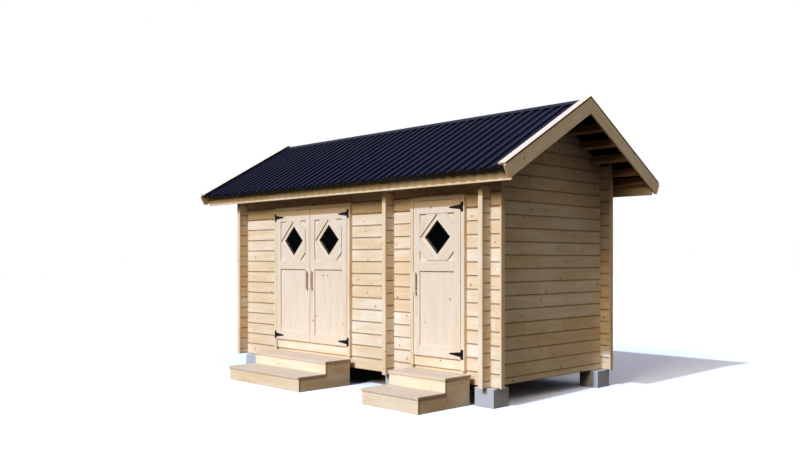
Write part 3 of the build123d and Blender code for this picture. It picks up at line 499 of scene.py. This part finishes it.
def rubber_seal():
    """Extruded rubber glazing seal: matt carbon black, greyed a little by chalking."""
    material = empty_material("rubber_seal")
    tree = material.node_tree
    place = add_node(tree, "ShaderNodeTexCoord").outputs["Object"]
    chalk = add_node(tree, "ShaderNodeTexNoise", {"Vector": place, "Scale": 60.0, "Detail": 3.0})
    colour = add_node(tree, "ShaderNodeMix", {FACTOR: chalk.outputs["Fac"], FIRST: linear("#040404"),
                                              SECOND: linear("#0C0C0C")}, data_type="RGBA")
    shader = add_node(tree, "ShaderNodeBsdfPrincipled",
                      {"Base Color": colour.outputs[MIXED], "Roughness": 0.8, "IOR": 1.5,
                       "Specular IOR Level": 0.05})
    add_node(tree, "ShaderNodeOutputMaterial", {"Surface": shader.outputs[0]})
    return material


# ---- shaping ----
def deselect_all():
    for picked in list(bpy.context.selected_objects):
        picked.select_set(False)


def pick(*pieces):
    """Selects these pieces alone; the first is the active one."""
    deselect_all()
    for piece in pieces:
        piece.select_set(True)
    bpy.context.view_layer.objects.active = pieces[0]


def join(pieces, name):
    pick(*pieces)
    if len(pieces) > 1:
        bpy.ops.object.join()
    pieces[0].name = name
    pieces[0].data.name = name
    return pieces[0]


def apply_modifiers(piece):
    pick(piece)
    for modifier in list(piece.modifiers):
        bpy.ops.object.modifier_apply(modifier=modifier.name)


def copied(nodes, name):
    """One new piece with the shape of CAD nodes, their loose triangles merged into whole faces."""
    copies = []
    for node in nodes:
        copy = bpy.data.objects.new(node + "_copy", frame["nodes"][node].data.copy())
        bpy.context.collection.objects.link(copy)
        copies.append(copy)
    piece = join(copies, name)
    bpy.ops.object.mode_set(mode="EDIT")
    bpy.ops.mesh.select_all(action="SELECT")
    bpy.ops.mesh.remove_doubles(threshold=0.01 * MM)
    bpy.ops.mesh.dissolve_limited(angle_limit=math.radians(0.5))
    bpy.ops.object.mode_set(mode="OBJECT")
    return piece


def soften(piece, edge, segments=2, sharper_than=40):
    """Rounds the edges that are sharper than this angle, as a plane or sandpaper leaves them."""
    bevel = piece.modifiers.new("soft_edges", "BEVEL")
    bevel.width = edge
    bevel.segments = segments
    bevel.limit_method = "ANGLE"
    bevel.angle_limit = math.radians(sharper_than)
    apply_modifiers(piece)


def settle(piece):
    """Puts a piece's place, turn and size into its mesh."""
    pick(piece)
    bpy.ops.object.transform_apply(location=True, rotation=True, scale=True)


def repeat(piece, places, name):
    """Copies of one small piece, moved to these places and joined into one; the piece itself goes away."""
    copies = []
    for place in places:
        copy = bpy.data.objects.new(name, piece.data.copy())
        bpy.context.collection.objects.link(copy)
        copy.location = place
        copies.append(copy)
    whole = join(copies, name)
    settle(whole)
    bpy.data.objects.remove(piece)
    return whole


def turn_to(piece, way):
    """Turns a piece that stands along Z so that it stands along this way."""
    piece.rotation_euler = Vector(way).to_track_quat("Z", "Y").to_euler()
    settle(piece)


def boards_of(shape):
    """The separate boards of a piece, as lists of vertices."""
    seen = set()
    boards = []
    for start in shape.verts:
        if start in seen:
            continue
        seen.add(start)
        board = []
        ahead = [start]
        while ahead:
            vertex = ahead.pop()
            board.append(vertex)
            for edge in vertex.link_edges:
                other = edge.other_vert(vertex)
                if other not in seen:
                    seen.add(other)
                    ahead.append(other)
        boards.append(board)
    return boards


def length_along(board, way):
    spans = [vertex.co.dot(way) for vertex in board]
    return max(spans) - min(spans)


def lay_grain(piece, directions, seed):
    """Gives each board its own wood: distances along, across and through it from its pith, and from its top
    and foot, a tone and its ends. Its grain runs along the one of these directions in which it is longest."""
    chance = random.Random(seed)
    shape = bmesh.new()
    shape.from_mesh(piece.data)
    grain = shape.verts.layers.float_vector.new("grain")
    tone = shape.verts.layers.float.new("tone")
    below_top = shape.verts.layers.float.new("below_top")
    above_foot = shape.verts.layers.float.new("above_foot")
    end_grain = shape.faces.layers.float.new("end_grain")
    shape.normal_update()
    for board in boards_of(shape):
        along = max(directions, key=lambda way: length_along(board, way))
        side = ALONG_Y if abs(along.x) > 0.01 else ALONG_X
        through, across = sorted((side, along.cross(side)), key=lambda way: length_along(board, way))
        middle = sum((vertex.co for vertex in board), Vector()) / len(board)
        # from another stretch of its tree, up to 40 m on, and another distance from the pith
        shift = Vector((chance.uniform(0, 40), chance.uniform(-0.05, 0.05), chance.uniform(*PITH_DEPTH)))
        board_tone = chance.random()
        top = max(vertex.co.z for vertex in board)
        foot = min(vertex.co.z for vertex in board)
        for vertex in board:
            place = vertex.co - middle
            vertex[grain] = Vector((place.dot(along), place.dot(across), place.dot(through))) + shift
            vertex[tone] = board_tone
            vertex[below_top] = top - vertex.co.z
            vertex[above_foot] = vertex.co.z - foot
        for face in {face for vertex in board for face in vertex.link_faces}:
            face[end_grain] = 1.0 if abs(face.normal.dot(along)) > 0.8 else 0.0
    shape.to_mesh(piece.data)
    shape.free()


def finish_piece(piece, material, body, nodes=()):
    """Gives a piece its one material and the body that it rides on, and hides the CAD nodes that it stands
    for.
    """
    piece.data.materials.clear()
    piece.data.materials.append(material)
    for polygon in piece.data.polygons:
        polygon.material_index = 0
    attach(piece, body)
    if nodes:
        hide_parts(*nodes)


def wooden(nodes, name, material, directions, seed, body="root", edge=BOARD_EDGE,
           sharper_than=40):
    """A wooden piece that stands for CAD nodes, with softened edges and its own grain."""
    piece = copied(nodes, name)
    soften(piece, edge, sharper_than=sharper_than)
    lay_grain(piece, directions, seed)
    finish_piece(piece, material, body, nodes)
    return piece


def lengthen(piece, way, extra):
    """Moves the end that lies furthest along this way."""
    end = max(vertex.co.dot(way) for vertex in piece.data.vertices)
    pick(piece)
    bpy.ops.object.mode_set(mode="EDIT")
    bpy.ops.mesh.select_mode(type="VERT")
    bpy.ops.mesh.select_all(action="DESELECT")
    bpy.ops.object.mode_set(mode="OBJECT")
    for vertex in piece.data.vertices:
        vertex.select = end - vertex.co.dot(way) < 1 * MM
    bpy.ops.object.mode_set(mode="EDIT")
    bpy.ops.transform.translate(value=way * extra)
    bpy.ops.object.mode_set(mode="OBJECT")


def mark_cap_edge_shade(piece):
    """Tells the wood which faces of the cap boards get painted shade: their outer edges, and the inner edges
    that lie against the roof sheet.
    """
    shape = bmesh.new()
    shape.from_mesh(piece.data)
    outer = shape.faces.layers.float.new("outer_edge_shade")
    inner = shape.faces.layers.float.new("inner_edge_shade")
    shape.normal_update()
    for face in shape.faces:
        upright = abs(face.normal.x) > 0.9
        outward = face.normal.x * face.calc_center_median().x > 0
        face[outer] = 1.0 if upright and outward else 0.0
        face[inner] = 1.0 if upright and not outward else 0.0
    shape.to_mesh(piece.data)
    shape.free()


def mark_web_shade(piece, rear=False, troughs=True):
    """Marks the roof steel's painted shade, full on the steep webs and partial on the deep troughs, and the
    faces that look down.
    """
    shape = bmesh.new()
    shape.from_mesh(piece.data)
    up = Vector((0, math.sin(SLOPE) if rear else -math.sin(SLOPE), math.cos(SLOPE)))
    crown = max(vertex.co.dot(up) for vertex in shape.verts)
    web_shade = shape.faces.layers.float.new("web_shade")
    under = shape.faces.layers.float.new("under")
    for face in shape.faces:
        deep = crown - face.calc_center_median().dot(up) > 2 / 3 * SHEET_DEPTH
        shade = 0.35 if troughs and deep else 0.0
        face[web_shade] = 1.0 if abs(face.normal.x) > 0.4 else shade
        face[under] = 1.0 if face.normal.z < 0 else 0.0
    shape.to_mesh(piece.data)
    shape.free()


# ---- the hut ----
def build_walls(log):
    """The log walls. Their lips are cut at a blunt angle, so blunter edges are rounded too."""
    long_walls = ("front_bottom_log", "front_top_logs", "front_wall_left", "front_wall_middle",
                  "front_wall_right", "rear_wall")
    for i, node in enumerate(long_walls):
        wooden([node], node + "_logs", log, [ALONG_X], 100 + i, edge=LOG_EDGE,
               sharper_than=30)
    for i, node in enumerate(("left_gable_wall", "partition_wall", "right_gable_wall")):
        wooden([node], node + "_logs", log, [ALONG_Y], 200 + i, edge=LOG_EDGE,
               sharper_than=30)


def build_boards(board, sawn, cap, tread):
    """Boards and battens, each with the ways that its grain may run and a seed for its wood."""
    upright = [ALONG_Z]
    level = [ALONG_X]
    door_frame = [ALONG_Z, ALONG_X]
    slopes = [DOWN_FRONT, DOWN_REAR]
    box_like = [ALONG_X, ALONG_Y]
    wooden(["front_end_boards"], "front_corner_boards", board, upright, 301)
    wooden(["rear_end_boards"], "rear_corner_boards", board, upright, 302)
    wooden(["single_door_frame"], "single_door_jambs", board, door_frame, 303)
    wooden(["double_door_frame"], "double_door_jambs", board, door_frame, 304)
    mark_cap_edge_shade(wooden(["cap_boards"], "verge_cap_boards", cap, slopes, 305))
    wooden(["left_barge_boards"], "left_barge_pair", board, slopes, 306)
    wooden(["right_barge_boards"], "right_barge_pair", board, slopes, 307)
    wooden(["fascia_boards"], "eave_fascias", board, level, 308)
    wooden(["purlins_front", "purlins_rear"], "roof_battens", sawn, level, 309)
    wooden(["floor_joists"], "joists", sawn, box_like, 310)
    wooden(["left_step_treads", "right_step_treads"], "treads", tread, level, 312, edge=TREAD_EDGE)
    wooden(["left_step_sides", "right_step_sides"], "step_cheeks_and_risers", board, box_like, 313)


def pan_head(way, radius=PAN_HEAD_RADIUS):
    """Head of a wood screw, looking along this way."""
    bpy.ops.mesh.primitive_cylinder_add(vertices=12, radius=radius, depth=PAN_HEAD_HEIGHT)
    head = bpy.context.object
    soften(head, PAN_HEAD_EDGE, 1)
    turn_to(head, way)
    return head


def roofing_screw(way):
    """Hexagonal head on a round washer, looking along this way; its origin is the washer's middle."""
    bpy.ops.mesh.primitive_cylinder_add(vertices=12, radius=WASHER_RADIUS, depth=WASHER_THICKNESS)
    washer = bpy.context.object
    above = (WASHER_THICKNESS + HEX_HEAD_HEIGHT) / 2
    bpy.ops.mesh.primitive_cylinder_add(vertices=6, radius=HEX_HEAD_RADIUS, depth=HEX_HEAD_HEIGHT,
                                        location=(0, 0, above))
    head = bpy.context.object
    settle(head)
    screw = join([washer, head], "roofing_screw")
    turn_to(screw, way)
    return screw


def on_slope(x, down, depth, rear):
    """A point this far down a roof slope from the ridge line and this deep under the cap boards' top."""
    level = down * math.cos(SLOPE) - depth * math.sin(SLOPE)
    return Vector((x, RIDGE_Y + (level if rear else -level),
                   APEX_Z - down * math.sin(SLOPE) - depth * math.cos(SLOPE)))


def screw_down_roof(zinc, roof):
    """Roofing screws in every second trough, over the purlins, and screws in the cap boards."""
    troughs = [(k + 0.5) * SHEET_PITCH for k in range(-TROUGHS_EACH_WAY, TROUGHS_EACH_WAY, 2)]
    purlins = [FIRST_PURLIN + PURLIN_SPACING * i for i in range(SCREWED_PURLINS)]
    mitre_play = 0.1 * MM               # the cap boards' box ends this much under their true ridge
    seat = CAP_THICKNESS + SHEET_DEPTH - WASHER_THICKNESS / 2 - mitre_play
    low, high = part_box("cap_boards")
    caps = (low.x + CAP_WIDTH / 2, high.x - CAP_WIDTH / 2)
    sunk = 0.3 * MM
    for rear in (False, True):
        side = "rear" if rear else "front"
        up = (0, math.sin(SLOPE) if rear else -math.sin(SLOPE), math.cos(SLOPE))
        places = [on_slope(x, down, seat, rear) for x in troughs for down in purlins]
        screws = repeat(roofing_screw(up), places, side + "_roofing_screws")
        finish_piece(screws, roof, "root")
        places = [on_slope(x, down, sunk, rear) for x in caps for down in CAP_SCREWS_DOWN]
        screws = repeat(pan_head(up), places, side + "_cap_screws")
        finish_piece(screws, zinc, "root")


def screw_on_corner_boards(zinc):
    """A screw in the corner boards at every second log end of the three cross walls."""
    middles = [sum(corner.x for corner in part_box(wall)) / 2
               for wall in ("left_gable_wall", "partition_wall", "right_gable_wall")]
    heights = [CORNER_SCREWS_FROM + 2 * LOG_HEIGHT * k for k in range(CORNER_SCREWS_UP)]
    sunk = 0.4 * MM
    for side, face, out in (("front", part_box("front_end_boards")[0].y, -1),
                            ("rear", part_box("rear_end_boards")[1].y, 1)):
        places = [(x, face - out * sunk, z) for x in middles for z in heights]
        screws = repeat(pan_head((0, out, 0), SMALL_HEAD_RADIUS), places, side + "_corner_board_screws")
        finish_piece(screws, zinc, "root")


def screw_down_treads(zinc):
    """Screws at the ends of the treads, and in the middle of the wide treads."""
    low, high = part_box("right_step_treads")
    across = [low.x + TREAD_SCREWS_IN, high.x - TREAD_SCREWS_IN]
    wide_low, wide_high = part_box("left_step_treads")
    across += [wide_low.x + TREAD_SCREWS_IN, (wide_low.x + wide_high.x) / 2, wide_high.x - TREAD_SCREWS_IN]
    proud = 0.4 * MM
    places = [(x, y, high.z + proud) for x in across for y in UPPER_TREAD_SCREWS_Y]
    places += [(x, y, low.z + TREAD_THICKNESS + proud) for x in across for y in LOWER_TREAD_SCREWS_Y]
    screws = repeat(pan_head((0, 0, 1)), places, "tread_screws")
    finish_piece(screws, zinc, "root")


def screw_on_hinges(steel):
    """Screws through the straps ride on their leaf; those through the plates stay with the hut."""
    proud = 0.3 * MM
    for joint in frame["joints"]:
        leaf = joint["child"]
        pin_x = joint["pos_m"][0]
        low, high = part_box(leaf + "_frame")
        towards = 1 if (low.x + high.x) / 2 > pin_x else -1
        y = low.y - STRAP_THICKNESS - proud
        heights = (low.z + LOW_HINGE, high.z - HIGH_HINGE)
        places = [(pin_x + towards * reach, y, z) for z in heights for reach in STRAP_SCREWS]
        screws = repeat(pan_head((0, -1, 0)), places, leaf + "_strap_screws")
        finish_piece(screws, steel, leaf)
        places = [(pin_x - towards * PLATE_SCREWS_IN, y, z + up) for z in heights
                  for up in (-PLATE_SCREWS_UP, PLATE_SCREWS_UP)]
        screws = repeat(pan_head((0, -1, 0)), places, leaf + "_plate_screws")
        finish_piece(screws, steel, "root")


def build_window_seal(leaf, rubber):
    """Mitred black rubber seal round the pane, on the boarded panel; its black also widens the pane's dark
    look, as painted shade for the dark room behind.
    """
    low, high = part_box(leaf + "_window")
    half = (high.x - low.x) / 2
    inside = half - SEAL_LAP
    outside = half + SEAL_REACH
    middle = Vector(((low.x + high.x) / 2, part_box(leaf + "_panel")[0].y, (low.z + high.z) / 2))
    bpy.ops.mesh.primitive_circle_add(vertices=4, radius=inside, location=middle,
                                      rotation=(math.pi / 2, 0, 0))
    seal = bpy.context.object
    seal.name = leaf + "_window_seal"
    settle(seal)
    bpy.ops.object.mode_set(mode="EDIT")
    bpy.ops.mesh.select_all(action="SELECT")
    bpy.ops.mesh.extrude_edges_move()
    grow = outside / inside
    bpy.ops.transform.resize(value=(grow, 1, grow), center_override=middle)
    bpy.ops.object.mode_set(mode="OBJECT")
    thick = seal.modifiers.new("thickness", "SOLIDIFY")
    thick.thickness = SEAL_THICKNESS
    thick.offset = 0
    apply_modifiers(seal)
    finish_piece(seal, rubber, leaf)


def build_floor(room, planed, seed):
    """Planed floor boards with eased edges, laid along the hut."""
    low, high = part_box(room)
    count = round((high.y - low.y) / FLOOR_BOARD)
    pitch = (high.y - low.y) / count
    bpy.ops.mesh.primitive_cube_add(size=1)
    board = bpy.context.object
    board.scale = (high.x - low.x, pitch - FLOOR_JOINT, high.z - low.z)
    settle(board)
    soften(board, FLOOR_EDGE, 1)
    middle = (low + high) / 2
    places = [(middle.x, low.y + (k + 0.5) * pitch, middle.z) for k in range(count)]
    boards = repeat(board, places, room + "_boards")
    lay_grain(boards, [ALONG_X], seed)
    finish_piece(boards, planed, "root", [room])


def build_leaf(leaf, sanded, steel, glass, seed):
    """A door leaf; its straps and its pane are the CAD's own, with a better finish."""
    slants = [ALONG_Z, ALONG_X, SLANT_UP, SLANT_DOWN]
    wooden([leaf + "_frame"], leaf + "_stiles_and_rails", sanded, slants, seed, leaf)
    wooden([leaf + "_panel"], leaf + "_back_panel", sanded, [ALONG_Z], seed + 1, leaf)
    wooden([leaf + "_handle"], leaf + "_pull", sanded, [ALONG_Z, ALONG_Y], seed + 2, leaf, edge=HANDLE_EDGE)
    frame["nodes"][leaf + "_hinge_straps"].data.materials[0] = steel
    frame["nodes"][leaf + "_window"].data.materials[0] = glass


def build_metal_and_stone(roof, steel, concrete):
    for side in ("front", "rear"):
        node = "roof_sheet_" + side
        sheet = copied([node], "corrugated_sheet_" + side)
        if side == "front":
            lengthen(sheet, DOWN_FRONT, SHEET_PAST_EAVE)
        mark_web_shade(sheet, rear=(side == "rear"))
        finish_piece(sheet, roof, "root", [node])
    ridge = copied(["ridge_cap"], "folded_ridge_cap")
    mark_web_shade(ridge, troughs=False)
    finish_piece(ridge, roof, "root", ["ridge_cap"])
    blocks = copied(["foundation_blocks"], "concrete_blocks")
    soften(blocks, BLOCK_EDGE, 3)
    finish_piece(blocks, concrete, "root", ["foundation_blocks"])
    frame["nodes"]["hinge_plates"].data.materials[0] = steel


def main():
    bpy.context.scene.view_settings.view_transform = "Standard"
    deselect_all()
    place_camera()
    place_lamps()
    white_surroundings()
    white_studio_floor()

    # three colours each: pale wood, warm wood, and the dark lines of late wood
    log = spruce("planed_spruce_log", "#F9F3E9", "#E9D2B1", "#B98C5B", 0.22, 0.95, joint_shade=True)
    board = spruce("planed_spruce_board", "#F4ECDF", "#E8D1AE", "#BE905E", 0.1, 0.7)
    cap = spruce("sun_bleached_spruce_cap", "#E7DFDC", "#DED3CC", "#CDB49C", 0.06, cap_edge_shade=True)
    tread = spruce("brushed_spruce_tread", "#DAD0C6", "#D3C2AD", "#B79772", 0.1)
    leaf_wood = spruce("sanded_spruce_door", "#ECE1D6", "#E4D3BE", "#D0AD84", 0.08)
    sawn = spruce("sawn_spruce_batten", "#C9A87C", "#B68D5C", "#8C6034", 0.1)
    floor_wood = spruce("planed_spruce_floor", "#E6D3B6", "#D9BC90", "#AF8250", 0.14, 0.8)
    roof = coated_roof_steel()
    steel = powder_coated_steel()
    concrete = cast_concrete()
    glass = window_glass()
    zinc = zinc_plated_steel()
    rubber = rubber_seal()

    build_walls(log)
    build_boards(board, sawn, cap, tread)
    for i, leaf in enumerate(("single_leaf", "left_leaf", "right_leaf")):
        build_leaf(leaf, leaf_wood, steel, glass, 400 + 10 * i)
        build_window_seal(leaf, rubber)
    build_floor("store_room_floor", floor_wood, 320)
    build_floor("toilet_room_floor", floor_wood, 321)
    build_metal_and_stone(roof, steel, concrete)
    screw_down_roof(zinc, roof)
    screw_on_corner_boards(zinc)
    screw_down_treads(zinc)
    screw_on_hinges(steel)


main()
